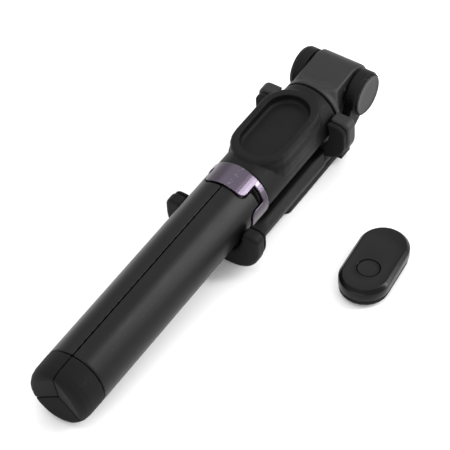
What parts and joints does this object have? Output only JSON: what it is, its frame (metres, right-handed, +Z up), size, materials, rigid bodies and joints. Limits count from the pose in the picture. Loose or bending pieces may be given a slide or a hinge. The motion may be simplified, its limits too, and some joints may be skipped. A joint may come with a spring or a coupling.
{
  "type": "folding selfie stick with tripod legs and remote control",
  "caption": "Folded telescopic selfie stick lying on its back: round handle of hinged tripod legs, metal collar, remote dock, tilting spring phone clamp, and a loose pill-shaped remote.",
  "frame": {"origin": "centre of the footprint, on the floor", "axes": "+Y from the feet to the hinge head, +Z up (the dock faces up), +X toward the remote control"},
  "size_m": [0.0852, 0.1902, 0.0368],
  "materials": {
    "leg_plastic": "silky satin charcoal plastic",
    "rubber": "soft matt black rubber",
    "anodised": "gloss anodised violet grey",
    "matte_plastic": "fine matt black plastic",
    "grey_plastic": "satin dark grey plastic",
    "steel": "bright steel",
    "spring_steel": "spring wire",
    "inner_plastic": "plain black plastic",
    "gloss_plastic": "polished black plastic",
    "board": "green circuit board"
  },
  "bodies": {
    "hub": {"collar": "anodised", "hub_core": "inner_plastic", "tube_1": "steel", "leg_pin_right": "steel", "leg_pin_left": "steel", "leg_pin_back": "steel"},
    "leg_r": {"leg_right": "leg_plastic", "foot_right": "rubber"},
    "leg_l": {"leg_left": "leg_plastic", "foot_left": "rubber"},
    "leg_b": {"leg_back": "leg_plastic", "foot_back": "rubber"},
    "stage_2": {"tube_2": "steel", "bush_2": "inner_plastic"},
    "stage_3": {"tube_3": "steel", "bush_3": "inner_plastic"},
    "stage_4": {"tube_4": "steel", "bush_4": "inner_plastic"},
    "head": {"tube_5": "steel", "bush_5": "inner_plastic", "head_front": "matte_plastic", "head_back": "matte_plastic", "neck_screw": "steel", "neck_washer": "steel", "hinge_block": "grey_plastic", "hinge_axle": "steel", "friction_washer_right": "steel", "friction_washer_left": "steel"},
    "clamp": {"fork": "matte_plastic", "hinge_cover_right": "grey_plastic", "hinge_cover_left": "grey_plastic", "clamp_pivot": "steel", "clamp_housing_front": "matte_plastic", "clamp_housing_back": "grey_plastic", "jaw_upper": "grey_plastic", "pad_upper": "rubber", "clamp_spring": "spring_steel"},
    "slider": {"jaw_lower": "matte_plastic", "pad_lower": "rubber", "rail_right": "steel", "rail_left": "steel"},
    "remote": {"remote_top": "gloss_plastic", "remote_base": "matte_plastic", "remote_board": "board", "remote_switch": "steel", "remote_cell": "steel"},
    "button": {"remote_button": "gloss_plastic"}
  },
  "joints": [
    {"name": "fork_swing", "type": "hinge", "parent": "head", "child": "clamp", "pos_m": [-0.02227, 0.08524, 0.02589], "axis": [1, 0, 0], "range_deg": [0, 180]},
    {"name": "jaw_slide", "type": "slide", "parent": "clamp", "child": "slider", "axis": [0, -0.997, -0.0775], "range_m": [0, 0.033], "stiffness_N_per_m": 250, "springref_m": -0.012},
    {"name": "stage_2_slide", "type": "slide", "parent": "hub", "child": "stage_2", "axis": [0, 0.997, 0.0775], "range_m": [0, 0.08]},
    {"name": "stage_3_slide", "type": "slide", "parent": "stage_2", "child": "stage_3", "axis": [0, 0.997, 0.0775], "range_m": [0, 0.08]},
    {"name": "stage_4_slide", "type": "slide", "parent": "stage_3", "child": "stage_4", "axis": [0, 0.997, 0.0775], "range_m": [0, 0.08]},
    {"name": "head_slide", "type": "slide", "parent": "stage_4", "child": "head", "axis": [0, 0.997, 0.0775], "range_m": [0, 0.08]},
    {"name": "leg_right_swing", "type": "hinge", "parent": "hub", "child": "leg_r", "pos_m": [-0.01431, 0.0121, 0.02482], "axis": [-0.5, -0.0671, 0.8634], "range_deg": [0, 60]},
    {"name": "leg_left_swing", "type": "hinge", "parent": "hub", "child": "leg_l", "pos_m": [-0.03024, 0.0121, 0.02482], "axis": [-0.5, 0.0671, -0.8634], "range_deg": [0, 60]},
    {"name": "leg_back_swing", "type": "hinge", "parent": "hub", "child": "leg_b", "pos_m": [-0.02227, 0.01317, 0.01106], "axis": [1, 0, 0], "range_deg": [0, 60]},
    {"name": "remote_lift", "type": "slide", "parent": "hub", "child": "remote", "axis": [0, 0, 1], "range_m": [0, 0.04]},
    {"name": "button_press", "type": "slide", "parent": "remote", "child": "button", "axis": [0, 0, -1], "range_m": [0, 0.0005], "stiffness_N_per_m": 500, "springref_m": -0.0002}
  ],
  "couplings": [
    {"joint": "leg_right_swing", "follows": "fork_swing", "ratio": 0.33333},
    {"joint": "leg_left_swing", "follows": "fork_swing", "ratio": 0.33333},
    {"joint": "leg_back_swing", "follows": "fork_swing", "ratio": 0.33333}
  ]
}
